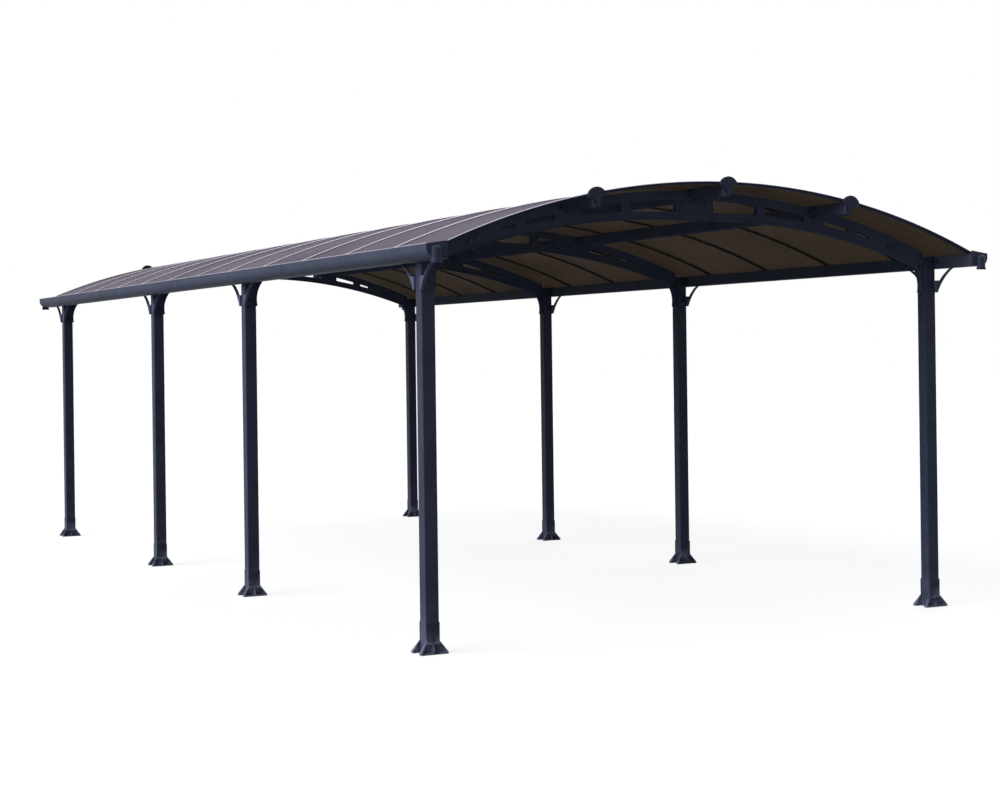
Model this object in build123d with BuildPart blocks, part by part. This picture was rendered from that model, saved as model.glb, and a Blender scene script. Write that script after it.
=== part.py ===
"""Open arched carport: tube posts on cast feet, arched trusses, purlins, curved roof sheets and gutters.

X runs across the carport, Y from the front gable to the back, Z up, in millimetres. The ground is Z = 0.
"""

import os
from math import asin, cos, degrees, radians, sin, sqrt

from build123d import *

os.makedirs("parts", exist_ok=True)

# Layout of the posts and the roof
post_span = 3200.0
panel_pitch = 700.0
panels_per_end_bay = 4
panels_in_middle_bay = 3
overhang_share = 0.5
eave_height = 2040.0
roof_rise = 360.0
seat = 0.2
overrun = 5.0

# Posts and their cast feet
post_size = 75.0
post_wall = 2.5
post_corner = 6.0
post_top_drop = 4.0
foot_width = 150.0
foot_reach = 28.0
foot_floor = 10.0
foot_plate = 4.5
foot_rib = 8.0
foot_flare_height = 66.0
foot_pocket_top = 48.0
foot_height = 160.0
anchor_spacing = 70.0
anchor_hole = 9.0

# Roof sheets, glazing bars and edge trims
panel_thickness = 6.0
panel_end_reach = 35.0
bar_web = 4.0
bar_flange = 3.0
bar_foot_width = 40.0
bar_cap_width = 22.0
trim_wall = 3.0
trim_depth = 26.0

# Purlins and the caps on their ends
purlin_height = 62.0
purlin_top_width = 64.0
purlin_bottom_width = 34.0
purlin_wall = 3.0
side_purlin_offset = 800.0
cap_width = 110.0
cap_crown = 38.0
cap_stem = 60.0
cap_stem_width = 24.0
cap_brim = 10.0
cap_neck_share = 0.42
cap_neck_width_share = 0.32
cap_depth = 14.0
cap_plate = 4.0
cap_edge = 3.0

# Arched trusses
truss_thickness = 32.0
truss_depth_king = 164.0
truss_depth_post = 98.0
truss_joint_gap = 1.0
truss_sheet_gap = 8.0
truss_rim = 4.0
truss_rim_width = 42.0
king_plate_width = 190.0
king_plate_thickness = 4.0
king_plate_margin = 8.0
king_plate_corner = 8.0
window_corner = 9.0
window_corner_share = 0.4
window_shares = (
    (0.076, 0.261, 0.44, 0.37),
    (0.297, 0.462, 0.36, 0.29),
    (0.551, 0.663, 0.25, 0.19),
    (0.700, 0.756, 0.16, 0.13),
)

# Gutters and their end caps
gutter_drop = 60.0
gutter_width = 115.0
gutter_round = 52.0
gutter_lip_height = 73.0
gutter_lip = 12.0
gutter_wall = 2.5
gutter_end_reach = 15.0
gutter_segments = 4
gutter_joint_gap = 0.6
gutter_cap_wall = 4.0
gutter_cap_rise = 90.0
outlet_radius = 27.0
outlet_wall = 3.0
outlet_rise = 64.0
outlet_drop = 20.0
outlet_bevel = 10.0
outlet_collar = 3.0
outlet_collar_height = 12.0

# Brackets at the post tops
brace_height = 140.0
brace_reach = 150.0
brace_thickness = 12.0
brace_width = 18.0
brace_bow_share = 0.34
brace_web_share = 0.5
gusset_step = 14.0
gusset_flare = 48.0
gusset_width = 46.0
gusset_bow_share = 0.72

# Places that follow from the sizes above
end_bay = panels_per_end_bay * panel_pitch
middle_bay = panels_in_middle_bay * panel_pitch
roof_length = 2 * end_bay + middle_bay + 2 * overhang_share * panel_pitch
panel_count = round(roof_length / panel_pitch)
post_x = post_span / 2
post_rows = (
    -middle_bay / 2 - end_bay,
    -middle_bay / 2,
    middle_bay / 2,
    middle_bay / 2 + end_bay,
)
sides = (("left", -1), ("right", 1))

gutter_inner_x = post_x + post_size / 2
truss_end_x = post_x - post_size / 2
eave_x = gutter_inner_x + panel_end_reach
sheet_radius = (eave_x**2 + roof_rise**2) / (2 * roof_rise)
arch_centre_z = eave_height + roof_rise - sheet_radius
eave_angle = degrees(asin(eave_x / sheet_radius))
arch_axis = Axis((0, 0, arch_centre_z), (0, 1, 0))

bar_underside_radius = sheet_radius - seat - bar_flange
purlin_top_radius = bar_underside_radius - seat
truss_top_radius = purlin_top_radius - truss_sheet_gap
gutter_floor = eave_height - gutter_drop
brace_bottom = gutter_floor - brace_height


def arch_height(radius, x):
    """Height at x of a circle about the roof's own centre line."""
    return arch_centre_z + sqrt(radius**2 - x**2)


def arch_plane(angle, y=0):
    """Plane across the roof at an angle from the ridge: its x runs along Y and its y points outward."""
    tangent = (cos(radians(angle)), 0, -sin(radians(angle)))
    return Plane(origin=(0, y, arch_centre_z), x_dir=(0, 1, 0), z_dir=tangent)


def gable_plane(angle, y=0):
    """Plane facing the front gable: its x follows the roof's slope at the angle and its y points outward."""
    tangent = (cos(radians(angle)), 0, -sin(radians(angle)))
    return Plane(origin=(0, y, arch_centre_z), x_dir=tangent, z_dir=(0, -1, 0))


def truss_depth(x):
    """Depth of a truss at x, from the king joint to the post face."""
    return truss_depth_king + (truss_depth_post - truss_depth_king) * x / truss_end_x


def truss_top(x):
    return arch_height(truss_top_radius, x)


def truss_bottom(x):
    return truss_top(x) - truss_depth(x)


gutter_wall_top = arch_height(bar_underside_radius - seat, gutter_inner_x + gutter_wall)
side_purlin_angle = degrees(asin(side_purlin_offset / sheet_radius))
purlin_angles = (
    ("purlin_left", -side_purlin_angle),
    ("purlin_ridge", 0),
    ("purlin_right", side_purlin_angle),
)
post_top = gutter_wall_top - post_top_drop


# Posts: square tubes with rounded corners that stand on the ground beside the gutters
for side_name, side in sides:
    for number, row in enumerate(post_rows, start=1):
        with BuildPart() as post:
            with BuildSketch() as tube_section:
                with Locations((side * post_x, row)):
                    RectangleRounded(post_size, post_size, post_corner)
                    inner_size = post_size - 2 * post_wall
                    RectangleRounded(inner_size, inner_size, post_corner - post_wall, mode=Mode.SUBTRACT)
            extrude(amount=post_top)
        post.part.label = f"post_{side_name}_{number}"
        export_step(post.part, f"parts/post_{side_name}_{number}.step")


# Feet: two flared castings per post, with ribs, open pockets and anchor holes between the ribs
for side_name, side in sides:
    for number, row in enumerate(post_rows, start=1):
        foot_x = side * post_x
        with BuildPart() as foot:
            for facing in (-1, 1):
                face_y = row + facing * post_size / 2
                sole_y = face_y + facing * foot_reach / 2
                plate_y = face_y + facing * foot_plate / 2
                with BuildSketch():
                    with Locations((foot_x, sole_y)):
                        Rectangle(foot_width, foot_reach)
                extrude(amount=foot_floor)
                with BuildSketch(Plane.XY.offset(foot_floor)):
                    with Locations((foot_x, sole_y)):
                        Rectangle(foot_width, foot_reach)
                with BuildSketch(Plane.XY.offset(foot_flare_height)):
                    with Locations((foot_x, plate_y)):
                        Rectangle(post_size, foot_plate)
                loft()
                with BuildSketch():
                    with Locations((foot_x, plate_y)):
                        Rectangle(post_size, foot_plate)
                extrude(amount=foot_height)
                pocket_depth = foot_reach + overrun
                pocket_y = face_y + facing * (foot_plate + pocket_depth / 2)
                for hand in (-1, 1):
                    taper_share = (foot_pocket_top - foot_floor) / (foot_flare_height - foot_floor)
                    high_half = foot_width / 2 + taper_share * (post_size - foot_width) / 2
                    low_width = foot_width / 2 - foot_rib / 2 - foot_rib
                    high_width = high_half - foot_rib / 2 - foot_rib
                    with BuildSketch(Plane.XY.offset(foot_floor)):
                        with Locations((foot_x + hand * (foot_rib + low_width) / 2, pocket_y)):
                            Rectangle(low_width, pocket_depth)
                    with BuildSketch(Plane.XY.offset(foot_pocket_top)):
                        with Locations((foot_x + hand * (foot_rib + high_width) / 2, pocket_y)):
                            Rectangle(high_width, pocket_depth)
                    loft(mode=Mode.SUBTRACT)
                    hole_y = face_y + facing * (foot_plate + foot_reach) / 2
                    with Locations((foot_x + hand * anchor_spacing / 2, hole_y, foot_floor)):
                        Hole(anchor_hole / 2, depth=2 * foot_floor)
        foot.part.label = f"foot_{side_name}_{number}"
        export_step(foot.part, f"parts/foot_{side_name}_{number}.step")


# Trusses: two arched halves per post pair, each a deep band with rims and tapering windows, notched for the purlins
def truss_outline(side, lower, upper):
    """Closed outline from the king joint to the post face, between two heights given over x."""
    king_x = truss_joint_gap / 2
    stations = (king_x, (king_x + truss_end_x) / 2, truss_end_x)
    ThreePointArc(*[(side * x, upper(x)) for x in stations])
    Line((side * truss_end_x, upper(truss_end_x)), (side * truss_end_x, lower(truss_end_x)))
    ThreePointArc(*[(side * x, lower(x)) for x in reversed(stations)])
    Line((side * king_x, lower(king_x)), (side * king_x, upper(king_x)))


def top_rim_underside(x):
    return truss_top(x) - truss_rim


def bottom_rim_top(x):
    return truss_bottom(x) + truss_rim


truss_bands = (
    (truss_bottom, truss_top, truss_thickness),
    (top_rim_underside, truss_top, truss_rim_width),
    (truss_bottom, bottom_rim_top, truss_rim_width),
)
for side_name, side in sides:
    for number, row in enumerate(post_rows, start=1):
        with BuildPart() as truss:
            for lower, upper, width in truss_bands:
                with BuildSketch(Plane.XZ.offset(-row)):
                    with BuildLine():
                        truss_outline(side, lower, upper)
                    make_face()
                extrude(amount=width / 2, both=True)
            for inner_share, outer_share, inner_height_share, outer_height_share in window_shares:
                inner_x = inner_share * truss_end_x
                outer_x = outer_share * truss_end_x
                inner_half = inner_height_share * truss_depth(inner_x) / 2
                outer_half = outer_height_share * truss_depth(outer_x) / 2
                inner_z = truss_top(inner_x) - truss_depth(inner_x) / 2
                outer_z = truss_top(outer_x) - truss_depth(outer_x) / 2
                with BuildSketch(Plane.XZ.offset(-row)) as window:
                    with BuildLine():
                        Polyline(
                            (side * inner_x, inner_z - inner_half),
                            (side * outer_x, outer_z - outer_half),
                            (side * outer_x, outer_z + outer_half),
                            (side * inner_x, inner_z + inner_half),
                            close=True,
                        )
                    make_face()
                    corner = min(window_corner, window_corner_share * 2 * outer_half)
                    fillet(window.vertices(), corner)
                extrude(amount=truss_thickness / 2 + overrun, both=True, mode=Mode.SUBTRACT)
            for angle in (0, side * side_purlin_angle):
                notch_floor = purlin_top_radius - purlin_height - seat
                with BuildSketch(gable_plane(angle, row)):
                    with BuildLine():
                        Polyline(
                            (-purlin_bottom_width / 2 - seat, notch_floor),
                            (purlin_bottom_width / 2 + seat, notch_floor),
                            (purlin_top_width / 2 + seat, purlin_top_radius),
                            (-purlin_top_width / 2 - seat, purlin_top_radius),
                            close=True,
                        )
                    make_face()
                extrude(amount=truss_rim_width / 2 + overrun, both=True, mode=Mode.SUBTRACT)
        truss.part.label = f"truss_{side_name}_{number}"
        export_step(truss.part, f"parts/truss_{side_name}_{number}.step")


# King plates: flat splice plates over both faces of each king joint, below the ridge purlin
king_plate_top = arch_centre_z + purlin_top_radius - purlin_height - king_plate_margin
king_plate_height = king_plate_top - truss_bottom(0) - king_plate_margin
with BuildPart() as king_plates:
    for row in post_rows:
        for facing in (-1, 1):
            plate_face_y = row + facing * truss_thickness / 2
            with BuildSketch(Plane.XZ.offset(-plate_face_y)):
                with Locations((0, king_plate_top - king_plate_height / 2)):
                    RectangleRounded(king_plate_width, king_plate_height, king_plate_corner)
            extrude(amount=-facing * king_plate_thickness)
king_plates.part.label = "king_plates"
export_step(king_plates.part, "parts/king_plates.step")


# Braces: curved straps with a solid lower web, from the front and back of each post to the gutter's underside
for side_name, side in sides:
    brace_middle_z = brace_bottom + brace_web_share * brace_height
    bow = brace_bow_share * brace_reach
    with BuildPart() as braces:
        for row in post_rows:
            for facing in (-1, 1):
                face_y = row + facing * post_size / 2
                strap_plane = Plane.YZ.offset(side * gutter_inner_x)
                with BuildSketch(strap_plane):
                    with BuildLine():
                        Line((face_y, brace_bottom), (face_y + facing * brace_thickness, brace_bottom))
                        ThreePointArc(
                            (face_y + facing * brace_thickness, brace_bottom),
                            (face_y + facing * (bow + brace_thickness), brace_middle_z),
                            (face_y + facing * (brace_reach + brace_thickness), gutter_floor),
                        )
                        Line(
                            (face_y + facing * (brace_reach + brace_thickness), gutter_floor),
                            (face_y + facing * brace_reach, gutter_floor),
                        )
                        ThreePointArc(
                            (face_y + facing * brace_reach, gutter_floor),
                            (face_y + facing * bow, brace_middle_z),
                            (face_y, brace_bottom),
                        )
                    make_face()
                with BuildSketch(strap_plane):
                    with BuildLine():
                        Polyline(
                            (face_y, brace_bottom),
                            (face_y, gutter_floor),
                            (face_y + facing * brace_reach, gutter_floor),
                        )
                        ThreePointArc(
                            (face_y + facing * brace_reach, gutter_floor),
                            (face_y + facing * bow, brace_middle_z),
                            (face_y, brace_bottom),
                        )
                    make_face()
                    with Locations((face_y, brace_bottom)):
                        Rectangle(
                            2 * brace_reach,
                            2 * brace_web_share * brace_height,
                            mode=Mode.INTERSECT,
                        )
                extrude(amount=brace_width / 2, both=True)
    braces.part.label = f"braces_{side_name}"
    export_step(braces.part, f"parts/braces_{side_name}.step")


# Gussets: solid wedges on the inner post faces that carry the truss ends
for side_name, side in sides:
    gusset_inner_x = truss_end_x - gusset_flare
    gusset_step_x = truss_end_x - gusset_step
    gusset_inner_z = truss_bottom(gusset_inner_x) - seat
    gusset_outer_z = truss_bottom(truss_end_x) - seat
    bow_z = brace_bottom + gusset_bow_share * (gusset_inner_z - brace_bottom)
    bow_x = gusset_step_x - (1 - gusset_bow_share) * (gusset_step_x - gusset_inner_x)
    with BuildPart() as gussets:
        for row in post_rows:
            with BuildSketch(Plane.XZ.offset(-row)):
                with BuildLine():
                    Polyline(
                        (side * gusset_inner_x, gusset_inner_z),
                        (side * truss_end_x, gusset_outer_z),
                        (side * truss_end_x, brace_bottom),
                        (side * gusset_step_x, brace_bottom),
                    )
                    ThreePointArc(
                        (side * gusset_step_x, brace_bottom),
                        (side * bow_x, bow_z),
                        (side * gusset_inner_x, gusset_inner_z),
                    )
                make_face()
            extrude(amount=gusset_width / 2, both=True)
    gussets.part.label = f"gussets_{side_name}"
    export_step(gussets.part, f"parts/gussets_{side_name}.step")


# Gutters: round-faced channels in equal lengths, bolted along the outer faces of the posts
gutter_length = roof_length + 2 * gutter_end_reach
segment_pitch = gutter_length / gutter_segments
segment_length = segment_pitch - gutter_joint_gap
gutter_flat = gutter_width - gutter_round
gutter_round_z = gutter_floor + gutter_round
gutter_lip_z = gutter_floor + gutter_lip_height
gutter_mouth_z = max(gutter_lip_z, gutter_wall_top) + overrun
round_radius = gutter_round - gutter_wall
half_right = radians(45)
for side_name, side in sides:
    with BuildPart() as gutter:
        for index in range(gutter_segments):
            segment_y = (index - (gutter_segments - 1) / 2) * segment_pitch
            with BuildSketch(Plane.XZ.offset(-segment_y)):
                with BuildLine():
                    Polyline(
                        (side * gutter_inner_x, gutter_wall_top),
                        (side * gutter_inner_x, gutter_floor),
                        (side * (gutter_inner_x + gutter_flat), gutter_floor),
                    )
                    ThreePointArc(
                        (side * (gutter_inner_x + gutter_flat), gutter_floor),
                        (
                            side * (gutter_inner_x + gutter_flat + gutter_round * sin(half_right)),
                            gutter_round_z - gutter_round * cos(half_right),
                        ),
                        (side * (gutter_inner_x + gutter_width), gutter_round_z),
                    )
                    Polyline(
                        (side * (gutter_inner_x + gutter_width), gutter_round_z),
                        (side * (gutter_inner_x + gutter_width), gutter_lip_z),
                        (side * (gutter_inner_x + gutter_wall), gutter_wall_top),
                        (side * gutter_inner_x, gutter_wall_top),
                    )
                make_face()
                with BuildLine():
                    Polyline(
                        (side * (gutter_inner_x + gutter_wall), gutter_mouth_z),
                        (side * (gutter_inner_x + gutter_wall), gutter_floor + gutter_wall),
                        (side * (gutter_inner_x + gutter_flat), gutter_floor + gutter_wall),
                    )
                    ThreePointArc(
                        (side * (gutter_inner_x + gutter_flat), gutter_floor + gutter_wall),
                        (
                            side * (gutter_inner_x + gutter_flat + round_radius * sin(half_right)),
                            gutter_round_z - round_radius * cos(half_right),
                        ),
                        (side * (gutter_inner_x + gutter_width - gutter_wall), gutter_round_z),
                    )
                    Polyline(
                        (side * (gutter_inner_x + gutter_width - gutter_wall), gutter_round_z),
                        (side * (gutter_inner_x + gutter_width - gutter_wall), gutter_mouth_z),
                        (side * (gutter_inner_x + gutter_wall), gutter_mouth_z),
                    )
                make_face(mode=Mode.SUBTRACT)
                with Locations(
                    (
                        side * (gutter_inner_x + gutter_width - gutter_lip / 2),
                        gutter_lip_z - gutter_wall / 2,
                    )
                ):
                    Rectangle(gutter_lip, gutter_wall)
            extrude(amount=segment_length / 2, both=True)
    gutter.part.label = f"gutter_{side_name}"
    export_step(gutter.part, f"parts/gutter_{side_name}.step")


# Gutter end caps: plates in the gutter's outline, each with a hollow spout that opens below the gutter
outlet_x = gutter_inner_x + gutter_flat
outlet_top = gutter_floor + outlet_rise
gutter_cap_top = gutter_floor + gutter_cap_rise
for side_name, side in sides:
    with BuildPart() as gutter_caps:
        for facing in (-1, 1):
            plate_y = facing * gutter_length / 2
            spout_y = plate_y + facing * gutter_cap_wall
            with BuildSketch(Plane.XZ.offset(-plate_y)):
                with BuildLine():
                    Polyline(
                        (side * gutter_inner_x, gutter_cap_top),
                        (side * gutter_inner_x, gutter_floor),
                        (side * (gutter_inner_x + gutter_flat), gutter_floor),
                    )
                    ThreePointArc(
                        (side * (gutter_inner_x + gutter_flat), gutter_floor),
                        (
                            side * (gutter_inner_x + gutter_flat + gutter_round * sin(half_right)),
                            gutter_round_z - gutter_round * cos(half_right),
                        ),
                        (side * (gutter_inner_x + gutter_width), gutter_round_z),
                    )
                    Polyline(
                        (side * (gutter_inner_x + gutter_width), gutter_round_z),
                        (side * (gutter_inner_x + gutter_width), gutter_lip_z),
                        (side * gutter_inner_x, gutter_cap_top),
                    )
                make_face()
            extrude(amount=-facing * gutter_cap_wall)
            with BuildSketch(Plane.XY.offset(outlet_top)):
                with Locations((side * outlet_x, spout_y)):
                    Circle(outlet_radius)
                with Locations((side * outlet_x, spout_y - facing * outlet_radius)):
                    Rectangle(2 * outlet_radius, 2 * outlet_radius, mode=Mode.SUBTRACT)
            extrude(amount=-(outlet_rise + outlet_drop))
            rim_arcs = gutter_caps.edges().filter_by(GeomType.CIRCLE).filter_by_position(
                Axis.Z, outlet_top - seat, outlet_top + seat
            )
            chamfer(rim_arcs.sort_by(Axis.Y)[0 if facing < 0 else -1], outlet_bevel)
            with BuildSketch(Plane.XY.offset(gutter_floor - outlet_drop)):
                with Locations((side * outlet_x, spout_y)):
                    Circle(outlet_radius + outlet_collar)
                with Locations((side * outlet_x, spout_y - facing * (outlet_radius + outlet_collar))):
                    collar_side = 2 * (outlet_radius + outlet_collar)
                    Rectangle(collar_side, collar_side, mode=Mode.SUBTRACT)
            extrude(amount=outlet_collar_height)
            bore_radius = outlet_radius - outlet_wall
            bore_top = outlet_top - outlet_bevel - outlet_wall
            with BuildSketch(Plane.XY.offset(bore_top)):
                with Locations((side * outlet_x, spout_y)):
                    Circle(bore_radius)
                with Locations((side * outlet_x, spout_y - facing * bore_radius)):
                    Rectangle(2 * bore_radius, 2 * bore_radius, mode=Mode.SUBTRACT)
            extrude(amount=-(bore_top - gutter_floor + outlet_drop + overrun), mode=Mode.SUBTRACT)
            mouth_height = bore_top - gutter_floor - gutter_wall
            mouth_depth = gutter_cap_wall + 2 * overrun
            with Locations((side * outlet_x, spout_y - facing * (mouth_depth / 2 - overrun), bore_top)):
                Box(
                    2 * bore_radius,
                    mouth_depth,
                    mouth_height,
                    align=(Align.CENTER, Align.CENTER, Align.MAX),
                    mode=Mode.SUBTRACT,
                )
    gutter_caps.part.label = f"gutter_caps_{side_name}"
    export_step(gutter_caps.part, f"parts/gutter_caps_{side_name}.step")


# Purlins: tapered hollow rails along the roof, at the ridge and midway down each slope
def purlin_outline():
    Polyline(
        (-purlin_bottom_width / 2, purlin_top_radius - purlin_height),
        (purlin_bottom_width / 2, purlin_top_radius - purlin_height),
        (purlin_top_width / 2, purlin_top_radius),
        (-purlin_top_width / 2, purlin_top_radius),
        close=True,
    )


purlin_length = roof_length + 2 * trim_wall
for purlin_name, angle in purlin_angles:
    with BuildPart() as purlin:
        with BuildSketch(gable_plane(angle)) as rail_section:
            with BuildLine():
                purlin_outline()
            make_face()
            offset(amount=-purlin_wall, mode=Mode.SUBTRACT)
        extrude(amount=purlin_length / 2, both=True)
    purlin.part.label = purlin_name
    export_step(purlin.part, f"parts/{purlin_name}.step")


# Purlin caps: plates that close the rails, with a mushroom-shaped front that stands above the roof's edge
for end_name, facing in (("front", -1), ("back", 1)):
    with BuildPart() as purlin_caps:
        for purlin_name, angle in purlin_angles:
            with BuildSketch(gable_plane(angle, facing * purlin_length / 2)):
                with BuildLine():
                    Line((-cap_width / 2, sheet_radius), (-cap_width / 2, sheet_radius - cap_brim))
                    ThreePointArc(
                        (-cap_width / 2, sheet_radius - cap_brim),
                        (-cap_neck_width_share * cap_width / 2, sheet_radius - cap_neck_share * cap_stem),
                        (-cap_stem_width / 2, sheet_radius - cap_stem),
                    )
                    Line(
                        (-cap_stem_width / 2, sheet_radius - cap_stem),
                        (cap_stem_width / 2, sheet_radius - cap_stem),
                    )
                    ThreePointArc(
                        (cap_stem_width / 2, sheet_radius - cap_stem),
                        (cap_neck_width_share * cap_width / 2, sheet_radius - cap_neck_share * cap_stem),
                        (cap_width / 2, sheet_radius - cap_brim),
                    )
                    Line((cap_width / 2, sheet_radius - cap_brim), (cap_width / 2, sheet_radius))
                    ThreePointArc(
                        (cap_width / 2, sheet_radius),
                        (0, sheet_radius + cap_crown),
                        (-cap_width / 2, sheet_radius),
                    )
                make_face()
            extrude(amount=-facing * cap_depth)
            with BuildSketch(gable_plane(angle, facing * purlin_length / 2)):
                with BuildLine():
                    purlin_outline()
                make_face()
            extrude(amount=-facing * cap_plate)
        outer_group = 0 if facing < 0 else -1
        fillet(purlin_caps.edges().group_by(Axis.Y)[outer_group], cap_edge)
    purlin_caps.part.label = f"purlin_caps_{end_name}"
    export_step(purlin_caps.part, f"parts/purlin_caps_{end_name}.step")


# Roof sheets: thin curved panels that span from eave to eave, held between the glazing bars
panel_groups = ("front", "middle", "back")
panels_per_group = panel_count // len(panel_groups)
panel_width = panel_pitch - bar_web - 2 * seat
panel_middle_radius = sheet_radius + panel_thickness / 2
for group_index, group_name in enumerate(panel_groups):
    with BuildPart() as roof_panels:
        for place in range(panels_per_group):
            index = group_index * panels_per_group + place
            panel_y = (index + 1 / 2) * panel_pitch - roof_length / 2
            with BuildSketch(arch_plane(-eave_angle)):
                with Locations((panel_y, panel_middle_radius)):
                    Rectangle(panel_width, panel_thickness)
        revolve(axis=arch_axis, revolution_arc=2 * eave_angle)
    roof_panels.part.label = f"roof_panels_{group_name}"
    export_step(roof_panels.part, f"parts/roof_panels_{group_name}.step")


# Glazing bars: arched I-sections that join neighbouring sheets and rest on the purlins
bar_cap_radius = sheet_radius + panel_thickness + seat
with BuildPart() as glazing_bars:
    for index in range(1, panel_count):
        bar_y = index * panel_pitch - roof_length / 2
        with BuildSketch(arch_plane(-eave_angle)):
            with Locations((bar_y, bar_underside_radius + bar_flange / 2)):
                Rectangle(bar_foot_width, bar_flange)
            web_height = bar_cap_radius - bar_underside_radius
            with Locations((bar_y, bar_underside_radius + web_height / 2)):
                Rectangle(bar_web, web_height)
            with Locations((bar_y, bar_cap_radius + bar_flange / 2)):
                Rectangle(bar_cap_width, bar_flange)
    revolve(axis=arch_axis, revolution_arc=2 * eave_angle)
glazing_bars.part.label = "glazing_bars"
export_step(glazing_bars.part, "parts/glazing_bars.step")


# Edge trims: arched channels that close the sheets at the front and back gables
for end_name, facing in (("front", -1), ("back", 1)):
    edge_y = facing * roof_length / 2
    with BuildPart() as edge_trim:
        with BuildSketch(arch_plane(-eave_angle)):
            trim_height = panel_thickness + 2 * seat + 2 * bar_flange
            with Locations((edge_y + facing * trim_wall / 2, panel_middle_radius)):
                Rectangle(trim_wall, trim_height)
            for flange_radius in (bar_underside_radius + bar_flange / 2, bar_cap_radius + bar_flange / 2):
                flange_y = edge_y + facing * (trim_wall - trim_depth / 2)
                with Locations((flange_y, flange_radius)):
                    Rectangle(trim_depth, bar_flange)
        revolve(axis=arch_axis, revolution_arc=2 * eave_angle)
    edge_trim.part.label = f"edge_trim_{end_name}"
    export_step(edge_trim.part, f"parts/edge_trim_{end_name}.step")
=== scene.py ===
"""Looks of the open arched carport: powder-coated frame, bronze roof sheets, bolts, seals and covers."""

from math import asin, atan, cos, radians, sin, tau

import bmesh
import bpy
from mathutils import Matrix, Vector


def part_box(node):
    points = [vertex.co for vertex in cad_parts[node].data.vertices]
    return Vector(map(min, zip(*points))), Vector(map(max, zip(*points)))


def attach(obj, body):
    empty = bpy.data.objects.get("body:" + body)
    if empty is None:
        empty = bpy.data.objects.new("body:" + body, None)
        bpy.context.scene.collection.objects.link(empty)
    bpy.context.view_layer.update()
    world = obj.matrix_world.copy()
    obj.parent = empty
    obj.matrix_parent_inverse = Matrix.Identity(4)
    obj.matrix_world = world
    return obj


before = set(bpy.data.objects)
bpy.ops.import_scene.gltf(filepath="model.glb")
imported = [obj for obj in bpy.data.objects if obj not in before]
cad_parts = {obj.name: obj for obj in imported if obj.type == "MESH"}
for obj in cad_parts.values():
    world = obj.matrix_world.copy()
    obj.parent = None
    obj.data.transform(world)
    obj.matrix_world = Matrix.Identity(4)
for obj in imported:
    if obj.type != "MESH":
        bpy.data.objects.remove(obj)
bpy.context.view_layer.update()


# Feet: two cast aluminium halves clamp the front and back face of every post. They are sand cast with three
# ribs and two open pockets, powder coated, and a stud with washer and nut holds each pocket to the ground.
mm = 0.001
sides = {"left": -1, "right": 1}
rows = (1, 2, 3, 4)
post_names = [f"{side}_{row}" for side in sides for row in rows]
foot_floor = 10 * mm
foot_plate = 4.5 * mm
anchor_spacing = 70 * mm
anchor_washer_radius = 8.5 * mm
anchor_thread_radius = 4 * mm
clamp_screw_radius = 5 * mm
clamp_screw_heights = (88 * mm, 138 * mm)
washer_height_share = 0.18
hexagon_radius_share = 0.82
hexagon_height_share = 0.85
stud_height_share = 1.35
overlap_share = 0.9
# Pairs of the radius at the top and the height where the chamfer starts, as shares of the whole.
washer_chamfer_shares = (0.94, 0.7)
hexagon_chamfer_shares = (0.84, 0.86)
stud_chamfer_shares = (0.75, 0.93)
# Pairs of radius and height, up the dome and down into the drive recess, as shares of the head's radius.
pan_head_shares = ((1.0, 0.0), (1.0, 0.2), (0.85, 0.45), (0.5, 0.6), (0.34, 0.6), (0.28, 0.25))
washer_sides = 20
hexagon_sides = 6
stud_sides = 12
pan_head_sides = 16
sharp_edge_angle = radians(32)
edge_round = 3 * mm
dust_and_light_tone = "#63687d"


def linear(hex_colour):
    """Turn an sRGB hex colour into the linear one that a shader takes."""
    channels = [int(hex_colour[start : start + 2], 16) / 255 for start in (1, 3, 5)]
    return [c / 12.92 if c <= 0.04045 else ((c + 0.055) / 1.055) ** 2.4 for c in channels] + [1.0]


def add_node(tree, kind, settings=(), links=()):
    """Add one shader node with its settings, its input values and the sockets linked to its inputs."""
    node = tree.nodes.new("ShaderNode" + kind)
    for name, value in dict(settings).items():
        if isinstance(name, str) and hasattr(node, name):
            setattr(node, name, value)
        else:
            node.inputs[name].default_value = value
    for name, socket in dict(links).items():
        tree.links.new(socket, node.inputs[name])
    return node


def empty_material(name):
    """Start a material with its node tree cleared."""
    material = bpy.data.materials.new(name)
    material.use_nodes = True
    material.node_tree.nodes.clear()
    return material


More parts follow.
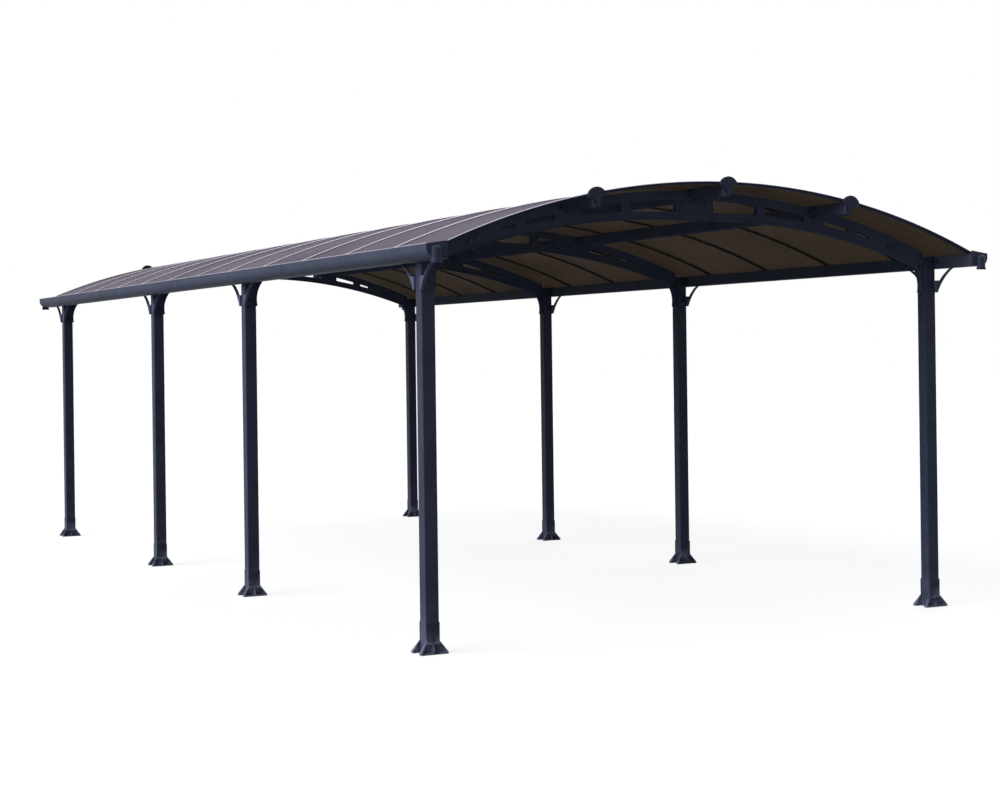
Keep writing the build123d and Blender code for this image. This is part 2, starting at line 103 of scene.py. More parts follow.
def powder_coat(
    name, tone, pale_tone, edge_highlight_tone, mottle, peel, peel_depth, shine, dust_and_light_height=10 * mm, dust_and_light_weight=0.5
):
    """Polyester powder baked to a satin film: even and dark, softly mottled, with a painted highlight on the
    edges.

    The sizes are the spacing of the mottling and of the orange peel, the depth of the peel, and how far up
    from the ground the coat turns paler, with dust and, on the feet, painted light. The shine is the specular
    level, which is low on a dull coat, and the dust and light weight is how strongly that paler tone lies at
    the ground: over 1 it hides the coat there.
    """
    material = empty_material(name)
    tree = material.node_tree
    place = add_node(tree, "TexCoord").outputs["Object"]
    surface = add_node(tree, "NewGeometry")
    rounded = add_node(tree, "Bevel", {"samples": 4, "Radius": edge_round})
    facing = add_node(
        tree, "VectorMath", {"operation": "DOT_PRODUCT"},
        {0: rounded.outputs["Normal"], 1: surface.outputs["Normal"]},
    )
    edge = add_node(
        tree, "MapRange", {"From Min": 1.0, "From Max": 0.8, "To Max": 0.8},
        {"Value": facing.outputs["Value"]},
    )
    cloud = add_node(
        tree, "TexNoise", {"Scale": 1 / mottle, "Detail": 4.0, "Roughness": 0.6}, {"Vector": place}
    )
    spread = add_node(tree, "MapRange", {"From Min": 0.35, "From Max": 0.65}, {"Value": cloud.outputs["Fac"]})
    film = add_node(
        tree, "MixRGB", {"Color1": linear(tone), "Color2": linear(pale_tone)},
        {"Fac": spread.outputs["Result"]},
    )
    # Painted highlight: the rounded edges are mixed towards the paler edge tone.
    edge_highlighted = add_node(
        tree, "MixRGB", {"Color2": linear(edge_highlight_tone)},
        {"Fac": edge.outputs["Result"], "Color1": film.outputs["Color"]},
    )
    # Paler towards the ground: dust, and on the feet painted light as well.
    height = add_node(tree, "SeparateXYZ", (), {"Vector": place})
    low = add_node(
        tree, "MapRange", {"From Min": dust_and_light_height, "From Max": 0.0, "To Max": dust_and_light_weight},
        {"Value": height.outputs["Z"]},
    )
    patch = add_node(
        tree, "Math", {"operation": "MULTIPLY", "use_clamp": True},
        {0: low.outputs["Result"], 1: spread.outputs["Result"]},
    )
    dusty_and_lit = add_node(
        tree, "MixRGB", {"Color2": linear(dust_and_light_tone)},
        {"Fac": patch.outputs["Value"], "Color1": edge_highlighted.outputs["Color"]},
    )
    grain = add_node(tree, "TexNoise", {"Scale": 1 / peel, "Detail": 2.0}, {"Vector": place})
    gloss = add_node(tree, "MapRange", {"To Min": 0.52, "To Max": 0.68}, {"Value": cloud.outputs["Fac"]})
    relief = add_node(
        tree, "Bump", {"Strength": 0.6, "Distance": peel_depth},
        {"Height": grain.outputs["Fac"], "Normal": rounded.outputs["Normal"]},
    )
    shader = add_node(
        tree, "BsdfPrincipled", {"IOR": 1.5, "Specular IOR Level": shine},
        {
            "Base Color": dusty_and_lit.outputs["Color"],
            "Roughness": gloss.outputs["Result"],
            "Normal": relief.outputs["Normal"],
        },
    )
    add_node(tree, "OutputMaterial", (), {"Surface": shader.outputs["BSDF"]})
    return material


def zinc_steel(name):
    """Zinc-plated steel with a dark chromate dip: dull blue-grey metal with a cloudy shine."""
    material = empty_material(name)
    tree = material.node_tree
    place = add_node(tree, "TexCoord").outputs["Object"]
    cloud = add_node(tree, "TexNoise", {"Scale": 1 / (5 * mm), "Detail": 3.0}, {"Vector": place})
    tone = add_node(
        tree, "MixRGB", {"Color1": linear("#1d2028"), "Color2": linear("#3a3e4b")},
        {"Fac": cloud.outputs["Fac"]},
    )
    gloss = add_node(tree, "MapRange", {"To Min": 0.34, "To Max": 0.52}, {"Value": cloud.outputs["Fac"]})
    shader = add_node(
        tree, "BsdfPrincipled", {"Metallic": 0.9},
        {"Base Color": tone.outputs["Color"], "Roughness": gloss.outputs["Result"]},
    )
    add_node(tree, "OutputMaterial", (), {"Surface": shader.outputs["BSDF"]})
    return material


def dress(material, *nodes):
    """Give CAD nodes their material."""
    for name in nodes:
        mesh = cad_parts[name].data
        mesh.materials.clear()
        mesh.materials.append(material)


def skin(body, loops):
    """Add a closed body to a mesh: faces from each loop of points to the next, and over both ends."""
    rings = [[body.verts.new(point) for point in loop] for loop in loops]
    for lower, upper in zip(rings, rings[1:]):
        for index in range(len(lower)):
            after = (index + 1) % len(lower)
            body.faces.new((lower[index], lower[after], upper[after], upper[index]))
    body.faces.new(rings[0][::-1])
    body.faces.new(rings[-1])


def turned(body, seat, axis, rings, sides_round):
    """Add a closed body of rings about an axis to a mesh: pairs of radius and height above the seat."""
    turn = Vector(axis).to_track_quat("Z", "Y")
    angles = [tau * index / sides_round for index in range(sides_round)]
    loops = []
    for radius, rise in rings:
        points = [Vector((radius * cos(angle), radius * sin(angle), rise)) for angle in angles]
        loops.append([Vector(seat) + turn @ point for point in points])
    skin(body, loops)


def chamfered(body, seat, axis, radius, start, top, chamfer_shares, sides_round):
    """Add a round or six-sided body with a chamfer round its top to a mesh."""
    radius_share, height_share = chamfer_shares
    rings = ((radius, start), (radius, height_share * top), (radius_share * radius, top))
    turned(body, seat, axis, rings, sides_round)


def hex_bolt(body, seat, axis, washer_radius, thread_radius=0):
    """Add a washer and a chamfered hexagon to a mesh, with a stud end through it where it is a nut."""
    washer = washer_height_share * washer_radius
    head_radius = hexagon_radius_share * washer_radius
    head_start = overlap_share * washer
    top = washer + hexagon_height_share * head_radius
    chamfered(body, seat, axis, washer_radius, 0, washer, washer_chamfer_shares, washer_sides)
    chamfered(body, seat, axis, head_radius, head_start, top, hexagon_chamfer_shares, hexagon_sides)
    if thread_radius:
        stud_start = overlap_share * top
        stud = stud_height_share * top
        chamfered(body, seat, axis, thread_radius, stud_start, stud, stud_chamfer_shares, stud_sides)


def pan_screw(body, seat, axis, radius):
    """Add a low domed screw head with a round drive recess to a mesh."""
    rings = [(width * radius, rise * radius) for width, rise in pan_head_shares]
    turned(body, seat, axis, rings, pan_head_sides)


def add_piece(name, body, material):
    """Close a mesh into a named piece of the carport, with its finish."""
    bmesh.ops.recalc_face_normals(body, faces=body.faces)
    mesh = bpy.data.meshes.new(name)
    body.to_mesh(mesh)
    body.free()
    mesh.materials.append(material)
    mesh.shade_smooth()
    mesh.set_sharp_from_angle(angle=sharp_edge_angle)
    piece = bpy.data.objects.new(name, mesh)
    bpy.context.scene.collection.objects.link(piece)
    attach(piece, "root")
    return piece


# Sand-cast grain of about 1 mm is too fine to show from where the picture is taken, so it is drawn at 7 mm.
# The coat is painted paler towards the ground, so that the flared soles are paler than the clamp plates
# above them: some dust, and painted light on the upturned soles.
casting_coat = powder_coat(
    "powder_coated_casting", "#2b3042", "#33384b", "#4a5166",
    mottle=60 * mm, peel=7 * mm, peel_depth=0.6 * mm, shine=0.1, dust_and_light_height=125 * mm, dust_and_light_weight=2.5,
)
zinc = zinc_steel("zinc_plated_steel")
dress(casting_coat, *[f"foot_{name}" for name in post_names])

anchors = bmesh.new()
clamp_screws = bmesh.new()
for name in post_names:
    low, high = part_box(f"post_{name}")
    foot_low, foot_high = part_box(f"foot_{name}")
    middle = (low + high) / 2
    for facing, face_y, sole_y in ((-1, low.y, foot_low.y), (1, high.y, foot_high.y)):
        pocket_y = (face_y + facing * foot_plate + sole_y) / 2
        for hand in (-1, 1):
            seat = (middle.x + hand * anchor_spacing / 2, pocket_y, foot_floor)
            hex_bolt(anchors, seat, (0, 0, 1), anchor_washer_radius, anchor_thread_radius)
        for rise in clamp_screw_heights:
            seat = (middle.x, face_y + facing * foot_plate, rise)
            pan_screw(clamp_screws, seat, (0, facing, 0), clamp_screw_radius)
add_piece("anchor_nuts", anchors, zinc)
add_piece("foot_clamp_screws", clamp_screws, zinc)


# Posts: square aluminium tubes with rounded corners, extruded, cut to one length and powder coated. Each
# stands between the two halves of its foot, which are screwed to it.
# The orange peel of the coat, about 1.5 mm, is drawn at 8 mm so that it shows.
tube_coat = powder_coat(
    "powder_coated_tube", "#2b3042", "#33384b", "#4a5166",
    mottle=180 * mm, peel=8 * mm, peel_depth=0.15 * mm, shine=0.1, dust_and_light_height=300 * mm,
)
dress(tube_coat, *[f"post_{name}" for name in post_names])


# Brackets: cast gussets carry the truss ends on the inner post faces, and flat curved straps brace the gutter
# from the front and back of each post. Both are powder coated and bolted on. The straps' coat is painted
# paler than the frame coat, painted light that makes them look lit in the gutter's shadow.
bracket_bolt_washer = 9 * mm
post_bolt_offset = 8 * mm
post_bolt_rise = 20 * mm
post_bolt_drop = 26 * mm
gutter_bolt_reach = 24 * mm
bracket_coat = powder_coat(
    "powder_coated_bracket", "#3a4055", "#42485d", "#555d72",
    mottle=70 * mm, peel=7 * mm, peel_depth=0.3 * mm, shine=0.0,
)
# Painted light: a paler copy of the frame coat for the straps, which sit in the gutter's shadow.
brace_coat = powder_coat(
    "powder_coated_strap", "#50576d", "#596078", "#667088",
    mottle=70 * mm, peel=7 * mm, peel_depth=0.1 * mm, shine=0.0,
)
dress(bracket_coat, "gussets_left", "gussets_right")
dress(brace_coat, "braces_left", "braces_right")

bracket_bolts = bmesh.new()
for side, outward in sides.items():
    brace_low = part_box(f"braces_{side}")[0]
    for row in rows:
        low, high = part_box(f"post_{side}_{row}")
        middle = (low + high) / 2
        outer_x = high.x if outward > 0 else low.x
        upper_z = high.z - post_bolt_drop
        for facing, face_y in ((-1, low.y), (1, high.y)):
            for height in (brace_low.z + post_bolt_rise, upper_z):
                seat = (middle.x + outward * post_bolt_offset, face_y, height)
                hex_bolt(bracket_bolts, seat, (0, facing, 0), bracket_bolt_washer)
            seat = (outer_x, face_y + facing * gutter_bolt_reach, upper_z)
            hex_bolt(bracket_bolts, seat, (-outward, 0, 0), bracket_bolt_washer)
add_piece("bracket_bolts", bracket_bolts, zinc)


# Trusses: each post pair carries two arched halves of cut and powder-coated aluminium with rims, joined at
# the king joint by a splice plate on either face. Bolts pass through the plates and the truss ends.
sheet_thickness = 6 * mm
truss_web = 32 * mm
truss_depth_king = 164 * mm
truss_depth_post = 98 * mm
truss_top_below_sheet = 11.4 * mm
king_plate_thickness = 4 * mm
king_bolt_inset = 20 * mm
king_bolt_low = 28 * mm
king_bolt_high = 72 * mm
end_bolt_inset = 20 * mm
end_bolt_rises = (18 * mm, 74 * mm)
splice_bolt_insets = (210 * mm, 250 * mm)
splice_bolt_depth_share = 0.58
first_eave_angle = radians(25)
eave_angle_steps = 20

# The roof's arch is read from the box of its sheets. Their cut ends slope, so the angle is found in steps.
sheet_low, sheet_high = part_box("roof_panels_front")
sheet_rise = sheet_high.z - sheet_low.z - sheet_thickness
eave_angle = first_eave_angle
for step in range(eave_angle_steps):
    eave_angle = 2 * atan(sheet_rise / (sheet_high.x - sheet_thickness * sin(eave_angle)))
sheet_radius = sheet_high.x / sin(eave_angle) - sheet_thickness
arch_z = sheet_high.z - sheet_thickness - sheet_radius


def roof_point(angle, radius, y, along=0):
    """Point at a radius about the roof's centre line, at an angle from the ridge, moved along the slope."""
    return Vector((
        radius * sin(angle) + along * cos(angle),
        y,
        arch_z + radius * cos(angle) - along * sin(angle),
    ))


# Painted light: the trusses, king plates and cleats get a paler copy of the frame coat, to lift them in the
# shade under the roof.
truss_coat = powder_coat(
    "powder_coated_truss", "#474d61", "#4f5569", "#5d6579",
    mottle=220 * mm, peel=8 * mm, peel_depth=0.2 * mm, shine=0.0,
)
dress(truss_coat, "king_plates", *[f"truss_{name}" for name in post_names])

truss_bolts = bmesh.new()
plates_low, plates_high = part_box("king_plates")
for row in rows:
    low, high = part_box(f"truss_left_{row}")
    row_y = (low.y + high.y) / 2
    for facing in (-1, 1):
        web_y = row_y + facing * truss_web / 2
        plate_y = web_y + facing * king_plate_thickness
        for hand in (-1, 1):
            seats = [
                (hand * king_bolt_low, plate_y, plates_low.z + king_bolt_inset),
                (hand * king_bolt_high, plate_y, plates_high.z - king_bolt_inset),
            ]
            end_x = abs(low.x)
            for rise in end_bolt_rises:
                seats.append((hand * (end_x - end_bolt_inset), web_y, low.z + rise))
            for inset in splice_bolt_insets:
                bolt_x = end_x - inset
                depth = truss_depth_king + (truss_depth_post - truss_depth_king) * bolt_x / end_x
                top_radius = sheet_radius - truss_top_below_sheet
                top = roof_point(asin(bolt_x / top_radius), top_radius, web_y)
                seats.append((hand * bolt_x, web_y, top.z - splice_bolt_depth_share * depth))
            for seat in seats:
                hex_bolt(truss_bolts, seat, (0, facing, 0), bracket_bolt_washer)
add_piece("truss_bolts", truss_bolts, zinc)


# Purlins: tapered hollow aluminium rails along the roof, at the ridge and midway down each slope, let into
# the trusses. Folded cleats on both flanks tie them to every truss, and moulded caps close their ends.
purlin_below_sheet = 3.4 * mm
purlin_height = 62 * mm
purlin_top_width = 64 * mm
purlin_bottom_width = 34 * mm
cleat_leg = 26 * mm
cleat_wall = 3 * mm
cleat_length = 30 * mm
cleat_low = 10 * mm
cleat_high = 42 * mm
cleat_bolt_washer = 6.5 * mm


def prism(body, outline, along):
    """Add a straight bar to a mesh: an outline of points swept by one vector, closed at both ends."""
    skin(body, (outline, [Vector(point) + Vector(along) for point in outline]))


def moulded_plastic(name, tone, pale_tone):
    """Injection-moulded nylon: dark, satin, with a fine spark-eroded grain and faint flow clouds."""
    material = empty_material(name)
    tree = material.node_tree
    place = add_node(tree, "TexCoord").outputs["Object"]
    cloud = add_node(tree, "TexNoise", {"Scale": 1 / (40 * mm), "Detail": 3.0}, {"Vector": place})
    colour = add_node(
        tree, "MixRGB", {"Color1": linear(tone), "Color2": linear(pale_tone)}, {"Fac": cloud.outputs["Fac"]}
    )
    gloss = add_node(tree, "MapRange", {"To Min": 0.42, "To Max": 0.58}, {"Value": cloud.outputs["Fac"]})
    # The moulding grain, about 0.3 mm, is drawn at 4 mm so that it shows.
    grain = add_node(tree, "TexNoise", {"Scale": 1 / (4 * mm), "Detail": 2.0}, {"Vector": place})
    rounded = add_node(tree, "Bevel", {"samples": 4, "Radius": 2 * mm})
    relief = add_node(
        tree, "Bump", {"Strength": 0.4, "Distance": 0.15 * mm},
        {"Height": grain.outputs["Fac"], "Normal": rounded.outputs["Normal"]},
    )
    shader = add_node(
        tree, "BsdfPrincipled", {"IOR": 1.53, "Specular IOR Level": 0.14},
        {
            "Base Color": colour.outputs["Color"],
            "Roughness": gloss.outputs["Result"],
            "Normal": relief.outputs["Normal"],
        },
    )
    add_node(tree, "OutputMaterial", (), {"Surface": shader.outputs["BSDF"]})
    return material


purlin_coat = powder_coat(
    "powder_coated_purlin", "#3f4456", "#464c5f", "#535b6e",
    mottle=250 * mm, peel=8 * mm, peel_depth=0.15 * mm, shine=0.0,
)
cap_plastic = moulded_plastic("moulded_nylon_caps", "#191e2d", "#21273a")
dress(purlin_coat, "purlin_left", "purlin_ridge", "purlin_right")
dress(cap_plastic, "purlin_caps_front", "purlin_caps_back")

cleats = bmesh.new()
cleat_bolts = bmesh.new()
purlin_top = sheet_radius - purlin_below_sheet
purlin_bottom = purlin_top - purlin_height
flank_slope = (purlin_top_width - purlin_bottom_width) / 2 / purlin_height
for name in ("purlin_left", "purlin_ridge", "purlin_right"):
    low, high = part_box(name)
    angle = asin((low.x + high.x) / 2 / purlin_top)
    for row in rows:
        truss_low, truss_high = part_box(f"truss_left_{row}")
        row_y = (truss_low.y + truss_high.y) / 2
        for facing in (-1, 1):
            web_y = row_y + facing * truss_web / 2
            leg_y = web_y + facing * cleat_wall
            for hand in (-1, 1):
                ends = []
                for rise in (cleat_low, cleat_high):
                    ends.append((purlin_bottom + rise, purlin_bottom_width / 2 + flank_slope * rise))
                for reach, start_y, length in (
                    (cleat_leg, web_y, cleat_wall),
                    (cleat_wall, leg_y, cleat_length - cleat_wall),
                ):
                    outline = [roof_point(angle, radius, start_y, hand * flank) for radius, flank in ends]
                    for radius, flank in ends[::-1]:
                        outline.append(roof_point(angle, radius, start_y, hand * (flank + reach)))
                    prism(cleats, outline, (0, facing * length, 0))
                bolt_radius = purlin_bottom + (cleat_low + cleat_high) / 2
                bolt_along = sum(flank for radius, flank in ends) / 2 + (cleat_leg + cleat_wall) / 2
                seat = roof_point(angle, bolt_radius, leg_y, hand * bolt_along)
                hex_bolt(cleat_bolts, seat, (0, facing, 0), cleat_bolt_washer)
add_piece("purlin_cleats", cleats, truss_coat)
add_piece("purlin_cleat_bolts", cleat_bolts, zinc)


# Roof sheets: twelve extruded polycarbonate sheets in a bronze tint, bent over the purlins and held at their
# edges by the glazing bars. An aluminium channel closes the cut ends of the sheets along each eave.
sheet_spacing = 700 * mm
sheet_count = 12
eave_strip_inset = 22 * mm
eave_strip_lap = 14 * mm
eave_strip_wall = 1.5 * mm
# Die lines are drawn out to 20 times their spacing, along the arch.
die_line_stretch = (0.05, 1.0, 0.05)


def bronze_polycarbonate(name):
    """Bronze-tinted extruded polycarbonate: brown and dim to look through, with a painted sky reflection on
    top.
    """
    material = empty_material(name)
    tree = material.node_tree
    place = add_node(tree, "TexCoord").outputs["Object"]
    surface = add_node(tree, "NewGeometry")
    # The outer face is the one that looks up. It is given a paler mauve-grey, a painted reflection of the
    # sky.
    upward = add_node(tree, "SeparateXYZ", (), {"Vector": surface.outputs["True Normal"]})
    outside = add_node(tree, "Math", {"operation": "GREATER_THAN", 1: 0.5}, {0: upward.outputs["Z"]})
    broad = add_node(tree, "TexNoise", {"Scale": 1 / (900 * mm), "Detail": 3.0}, {"Vector": place})
    # Die lines of the extrusion run across the roof. They are under 1 mm apart and are drawn at 20 mm.
    stretch = add_node(tree, "Mapping", {"Scale": die_line_stretch}, {"Vector": place})
    lines = add_node(
        tree, "TexNoise", {"Scale": 1 / (20 * mm), "Detail": 1.0}, {"Vector": stretch.outputs["Vector"]}
    )
    streaks = add_node(
        tree, "Math", {"operation": "MULTIPLY_ADD", 1: 0.5},
        {0: lines.outputs["Fac"], 2: broad.outputs["Fac"]},
    )
    depth = add_node(
        tree, "MapRange", {"From Min": 0.55, "From Max": 0.95}, {"Value": streaks.outputs["Value"]}
    )
    tint = add_node(
        tree, "MixRGB", {"Color1": linear("#51463a"), "Color2": linear("#605448")},
        {"Fac": depth.outputs["Result"]},
    )
    # Painted reflection of the sky: the upper face gets a paler mauve-grey than the bronze tint.
    painted_sky_reflection = add_node(
        tree, "MixRGB", {"Color1": linear("#746d7c"), "Color2": linear("#877f8e")},
        {"Fac": depth.outputs["Result"]},
    )
    colour = add_node(
        tree, "MixRGB", (),
        {"Fac": outside.outputs["Value"], "Color1": tint.outputs["Color"], "Color2": painted_sky_reflection.outputs["Color"]},
    )
    gloss = add_node(tree, "MapRange", {"To Min": 0.42, "To Max": 0.52}, {"Value": lines.outputs["Fac"]})
    # Polycarbonate's IOR is 1.58. It is set low here, because these sheets show no mirror shine.
    shader = add_node(
        tree, "BsdfPrincipled",
        {"IOR": 1.03, "Transmission Weight": 0.5, "Specular IOR Level": 0.0},
        {"Base Color": colour.outputs["Color"], "Roughness": gloss.outputs["Result"]},
    )
    add_node(tree, "OutputMaterial", (), {"Surface": shader.outputs["BSDF"]})
    return material


def satin_aluminium(name, tone, pale_tone):
    """Extruded aluminium with a satin anodised face: pale grey metal, streaked by fine die lines."""
    material = empty_material(name)
    tree = material.node_tree
    place = add_node(tree, "TexCoord").outputs["Object"]
    drawn = add_node(tree, "Mapping", {"Scale": die_line_stretch}, {"Vector": place})
    # Die lines of about 0.2 mm are drawn at 3 mm so that they show.
    lines = add_node(
        tree, "TexNoise", {"Scale": 1 / (3 * mm), "Detail": 2.0}, {"Vector": drawn.outputs["Vector"]}
    )
    colour = add_node(
        tree, "MixRGB", {"Color1": linear(tone), "Color2": linear(pale_tone)}, {"Fac": lines.outputs["Fac"]}
    )
    gloss = add_node(tree, "MapRange", {"To Min": 0.34, "To Max": 0.5}, {"Value": lines.outputs["Fac"]})
    shader = add_node(
        tree, "BsdfPrincipled", {"Metallic": 1.0},
        {"Base Color": colour.outputs["Color"], "Roughness": gloss.outputs["Result"]},
    )
    add_node(tree, "OutputMaterial", (), {"Surface": shader.outputs["BSDF"]})
    return material


bronze = bronze_polycarbonate("bronze_polycarbonate")
# Its pale, mauve-tinted tone is partly painted reflection: on the covers and beads it stands for the
# highlight along those edges.
aluminium_and_highlight_metal = satin_aluminium("satin_aluminium_and_painted_highlight", "#98939f", "#b0abb8")
dress(bronze, "roof_panels_front", "roof_panels_middle", "roof_panels_back")

eave_strips = bmesh.new()
lower, upper = sheet_radius - eave_strip_wall, sheet_radius + sheet_thickness + eave_strip_wall
channel = (
    (-eave_strip_lap, sheet_radius), (0, sheet_radius), (0, sheet_radius + sheet_thickness),
    (-eave_strip_lap, sheet_radius + sheet_thickness), (-eave_strip_lap, upper), (eave_strip_wall, upper),
    (eave_strip_wall, lower), (-eave_strip_lap, lower),
)
for outward in sides.values():
    for index in range(sheet_count):
        start_y = (index - sheet_count / 2) * sheet_spacing + eave_strip_inset
        outline = [
            roof_point(outward * (eave_angle + beyond / sheet_radius), radius, start_y)
            for beyond, radius in channel
        ]
        prism(eave_strips, outline, (0, sheet_spacing - 2 * eave_strip_inset, 0))
add_piece("eave_strips", eave_strips, aluminium_and_highlight_metal)


# Glazing bars: arched aluminium sections between the sheets. A snap-on aluminium cover strip with a rounded
# back closes each of them from above, between two black rubber gaskets. Its pale tone is partly a painted
# reflection of the sky along the seams.
cover_width = 26 * mm
cover_rise = 6 * mm
cover_wrap = 3.5 * mm
cover_edge_drop = cover_rise / 3
cover_crown_shares = (1.0, 0.7, 0.35, 0.0, -0.35, -0.7, -1.0)
gasket_width = 5 * mm
gasket_rise = 3 * mm
arc_steps = 72


def arched(body, section):
    """Add a bent bar to a mesh: a section of pairs of place along Y and radius, swept from eave to eave."""
    loops = []
    for step in range(arc_steps + 1):
        angle = eave_angle * (2 * step / arc_steps - 1)
        loops.append([roof_point(angle, radius, y) for y, radius in section])
    skin(body, loops)


def rubber(name):
    """Extruded black rubber: matt, dry, with a little bloom."""
    material = empty_material(name)
    tree = material.node_tree
    place = add_node(tree, "TexCoord").outputs["Object"]
    bloom = add_node(tree, "TexNoise", {"Scale": 1 / (15 * mm), "Detail": 3.0}, {"Vector": place})
    colour = add_node(
        tree, "MixRGB", {"Color1": linear("#101114"), "Color2": linear("#1e2024")},
        {"Fac": bloom.outputs["Fac"]},
    )
    shader = add_node(
        tree, "BsdfPrincipled", {"Roughness": 0.75, "Specular IOR Level": 0.15},
        {"Base Color": colour.outputs["Color"]},
    )
    add_node(tree, "OutputMaterial", (), {"Surface": shader.outputs["BSDF"]})
    return material


bar_coat = powder_coat(
    "powder_coated_glazing_bar", "#38322f", "#403a37", "#4c4643",
    mottle=250 * mm, peel=8 * mm, peel_depth=0.1 * mm, shine=0.0,
)
black_rubber = rubber("black_rubber")
dress(bar_coat, "glazing_bars")

bar_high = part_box("glazing_bars")[1]
cover_base = bar_high.z - arch_z - cover_wrap
sheet_top = sheet_radius + sheet_thickness
covers = bmesh.new()
gaskets = bmesh.new()
for index in range(1, sheet_count):
    bar_y = (index - sheet_count / 2) * sheet_spacing
    section = [(bar_y - cover_width / 2, cover_base), (bar_y + cover_width / 2, cover_base)]
    for share in cover_crown_shares:
        crown = cover_wrap + cover_rise * (1 - share**2) - cover_edge_drop
        section.append((bar_y + share * cover_width / 2, cover_base + crown))
    arched(covers, section)
    for hand in (-1, 1):
        edge_y = bar_y + hand * cover_width / 2
        section = [
            (edge_y, sheet_top), (edge_y + hand * gasket_width, sheet_top), (edge_y, sheet_top + gasket_rise),
        ]
        arched(gaskets, section)
# The covers' pale tone is partly a painted reflection along the seams.
add_piece("glazing_bar_covers", covers, aluminium_and_highlight_metal)
add_piece("glazing_gaskets", gaskets, black_rubber)


# Edge trims: arched aluminium channels that close the sheets at both gables, powder coated. A pale metal bead
# runs along their upper edge as a painted highlight, and small pan screws hold the upper flange down.
bead_width = 9 * mm
bead_rise = 4 * mm
bead_shares = (0.0, 0.3, 0.7, 1.0)
trim_screw_radius = 4.5 * mm
trim_screw_count = 9
trim_screw_inset = 17 * mm
trim_screw_reach_share = 0.92


def bead_crown(share, rise):
    """Height of a rounded bead at a share of its width: full in the middle and half at its edges."""
    return rise * (1 - (2 * share - 1) ** 2 / 2)


trim_coat = powder_coat(
    "powder_coated_trim", "#1e2333", "#262c3e", "#3a4358",
    mottle=200 * mm, peel=8 * mm, peel_depth=0.15 * mm, shine=0.02,
)
dress(trim_coat, "edge_trim_front", "edge_trim_back")

trim_highlight_beads = bmesh.new()
trim_screws = bmesh.new()
for end, inward in (("front", 1), ("back", -1)):
    low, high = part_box(f"edge_trim_{end}")
    edge_y = low.y if inward > 0 else high.y
    flange_top = high.z - arch_z
    section = [(edge_y, flange_top)]
    for share in bead_shares:
        crown = bead_crown(share, bead_rise)
        section.append((edge_y + inward * share * bead_width, flange_top + crown))
    section.append((edge_y + inward * bead_width, flange_top))
    arched(trim_highlight_beads, section)
    screw_y = edge_y + inward * trim_screw_inset
    for index in range(trim_screw_count):
        angle = eave_angle * trim_screw_reach_share * (2 * index / (trim_screw_count - 1) - 1)
        seat = roof_point(angle, flange_top, screw_y)
        pan_screw(trim_screws, seat, seat - Vector((0, screw_y, arch_z)), trim_screw_radius)
# Painted highlight: a pale metal bead along each trim's upper edge.
add_piece("edge_trim_highlight_beads", trim_highlight_beads, aluminium_and_highlight_metal)
add_piece("edge_trim_screws", trim_screws, zinc)


# Gutters: roll-formed aluminium channels along both eaves, in four lengths with a rubber seal at each joint.
# A pale metal bead along their lip is a painted highlight, and moulded caps with outlet spouts close their
# ends.
seal_width = 7 * mm
seal_proud = 0.8 * mm
seal_start_share = 0.3
gutter_lengths = 4
gutter_round = 52 * mm
gutter_round_steps = 8
lip_bead_width = 12 * mm
lip_bead_rise = 4 * mm
gutter_coat = powder_coat(
    "powder_coated_gutter", "#3a4050", "#434959", "#596174",
    mottle=300 * mm, peel=8 * mm, peel_depth=0.15 * mm, shine=0.03,
)
spout_plastic = moulded_plastic("moulded_nylon_spouts", "#1f2536", "#282f43")
dress(gutter_coat, "gutter_left", "gutter_right")
dress(spout_plastic, "gutter_caps_left", "gutter_caps_right")

seals = bmesh.new()
lip_highlight_beads = bmesh.new()
for side, outward in sides.items():
    low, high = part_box(f"gutter_{side}")
    outer_x = high.x if outward > 0 else low.x
    inner_x = low.x if outward > 0 else high.x
    round_x = outer_x - outward * gutter_round
    round_z = low.z + gutter_round
    outline = [(inner_x + outward * seal_start_share * gutter_round, low.z)]
    for step in range(gutter_round_steps + 1):
        angle = radians(90) * step / gutter_round_steps
        outline.append((round_x + outward * gutter_round * sin(angle), round_z - gutter_round * cos(angle)))
    outline.append((outer_x, high.z))
    for joint in range(1, gutter_lengths):
        joint_y = low.y + (high.y - low.y) * joint / gutter_lengths
        strip = []
        for x, z in outline:
            away = Vector((x - round_x, 0, min(z - round_z, 0))).normalized() * seal_proud
            strip.append((x + away.x, joint_y - seal_width / 2, z + away.z))
        for x, z in outline[::-1]:
            strip.append((x, joint_y - seal_width / 2, z))
        prism(seals, strip, (0, seal_width, 0))
    # Painted highlight: a pale metal bead along the lip.
    bead = [(outer_x, low.y, high.z)]
    for share in bead_shares:
        bead_x = outer_x - outward * share * lip_bead_width
        bead.append((bead_x, low.y, high.z + bead_crown(share, lip_bead_rise)))
    bead.append((outer_x - outward * lip_bead_width, low.y, high.z))
    prism(lip_highlight_beads, bead, (0, high.y - low.y, 0))
add_piece("gutter_joint_seals", seals, black_rubber)
add_piece("gutter_lip_highlight_beads", lip_highlight_beads, aluminium_and_highlight_metal)


# Studio: a pale floor that runs on to a white surround, a broad key light from the left, a weak one from
# behind on the right and soft light all round, and a camera at the picture's viewing angle.
white = linear("#ffffff")
floor_half = 80.0
floor_drop = 1 * mm
floor_mottle = 1667 * mm
floor_lift = 0.82
key_direction = (0.84, 0.02, -0.54)
key_strength = 4.0
rim_direction = (-0.55, -0.45, -0.70)
rim_strength = 1.2
light_spread = radians(60)
surround_strength = 0.25
camera_place = Vector((-5.453, -12.688, 1.499))
camera_yaw = radians(28.80)
camera_roll = radians(-0.75)
camera_focal_px = 1895.0
camera_shift_px = (100, -45)
image_width_px = 1000
sensor_width_mm = 36.0


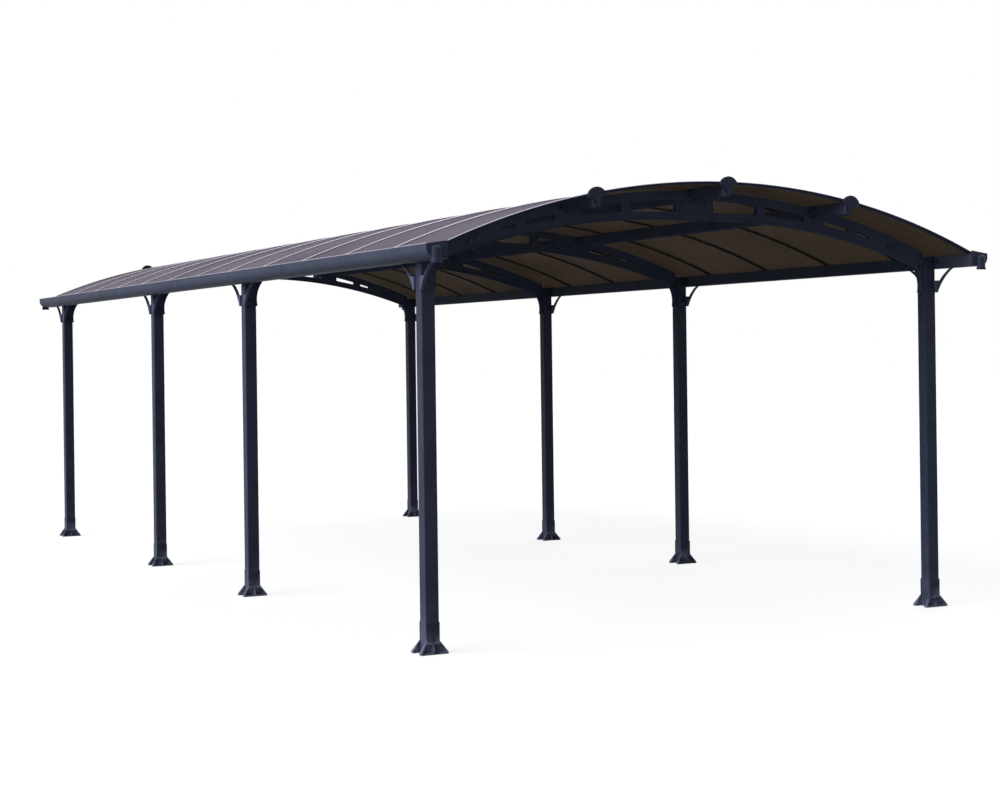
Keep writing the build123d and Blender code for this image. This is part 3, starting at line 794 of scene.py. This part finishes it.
def looked_at(tree):
    """One for what is seen, straight, mirrored or through a sheet, and zero for what lights the object."""
    path = add_node(tree, "LightPath")
    straight_or_mirrored = add_node(
        tree, "Math", {"operation": "MAXIMUM"},
        {0: path.outputs["Is Camera Ray"], 1: path.outputs["Is Glossy Ray"]},
    )
    any_way = add_node(
        tree, "Math", {"operation": "MAXIMUM"},
        {0: straight_or_mirrored.outputs["Value"], 1: path.outputs["Is Transmission Ray"]},
    )
    return any_way.outputs["Value"]


floor_mesh = bpy.data.meshes.new("studio_floor")
floor_mesh.from_pydata(
    [(x * floor_half, y * floor_half, -floor_drop) for x, y in ((-1, -1), (1, -1), (1, 1), (-1, 1))],
    [], [(0, 1, 2, 3)],
)
floor = bpy.data.objects.new("studio_floor", floor_mesh)
bpy.context.scene.collection.objects.link(floor)

# Painted studio floor: matt and pale, a little uneven. What the camera sees of it is lifted to white, and the
# shadow of the object stays.
floor_paint = empty_material("matt_floor_paint")
tree = floor_paint.node_tree
place = add_node(tree, "TexCoord").outputs["Object"]
cloud = add_node(tree, "TexNoise", {"Scale": 1 / floor_mottle, "Detail": 3.0}, {"Vector": place})
colour = add_node(
    tree, "MixRGB", {"Color1": linear("#7a7b7e"), "Color2": linear("#808184")}, {"Fac": cloud.outputs["Fac"]}
)
matt = add_node(tree, "BsdfDiffuse", (), {"Color": colour.outputs["Color"]})
lift = add_node(tree, "Emission", {"Color": white, "Strength": floor_lift})
seen = add_node(tree, "AddShader", (), {0: matt.outputs["BSDF"], 1: lift.outputs["Emission"]})
surface = add_node(
    tree, "MixShader", (), {0: looked_at(tree), 1: matt.outputs["BSDF"], 2: seen.outputs["Shader"]}
)
add_node(tree, "OutputMaterial", (), {"Surface": surface.outputs["Shader"]})
floor_mesh.materials.append(floor_paint)

world = bpy.data.worlds.new("studio")
world.use_nodes = True
world.node_tree.nodes.clear()
tree = world.node_tree
soft = add_node(tree, "Background", {"Color": linear("#eef2fa"), "Strength": surround_strength})
plain = add_node(tree, "Background", {"Color": white, "Strength": 1.0})
mixed = add_node(
    tree, "MixShader", (),
    {0: looked_at(tree), 1: soft.outputs["Background"], 2: plain.outputs["Background"]},
)
add_node(tree, "OutputWorld", (), {"Surface": mixed.outputs["Shader"]})
bpy.context.scene.world = world

for name, direction, strength in (
    ("key_light", key_direction, key_strength),
    ("rim_light", rim_direction, rim_strength),
):
    lamp = bpy.data.lights.new(name, "SUN")
    lamp.energy = strength
    lamp.angle = light_spread
    light = bpy.data.objects.new(name, lamp)
    light.rotation_euler = Vector(direction).to_track_quat("-Z", "Y").to_euler()
    bpy.context.scene.collection.objects.link(light)

forward = Vector((sin(camera_yaw), cos(camera_yaw), 0))
level_right = Vector((cos(camera_yaw), -sin(camera_yaw), 0))
level_up = level_right.cross(forward)
right = cos(camera_roll) * level_right + sin(camera_roll) * level_up
up = right.cross(forward)
lens = bpy.data.cameras.new("camera")
lens.sensor_width = sensor_width_mm
lens.lens = camera_focal_px * sensor_width_mm / image_width_px
lens.shift_x = -camera_shift_px[0] / image_width_px
lens.shift_y = camera_shift_px[1] / image_width_px
camera = bpy.data.objects.new("camera", lens)
camera.matrix_world = Matrix.Translation(camera_place) @ Matrix((right, up, -forward)).transposed().to_4x4()
bpy.context.scene.collection.objects.link(camera)
bpy.context.scene.camera = camera
bpy.context.scene.view_settings.view_transform = "Standard"

bpy.context.view_layer.update()
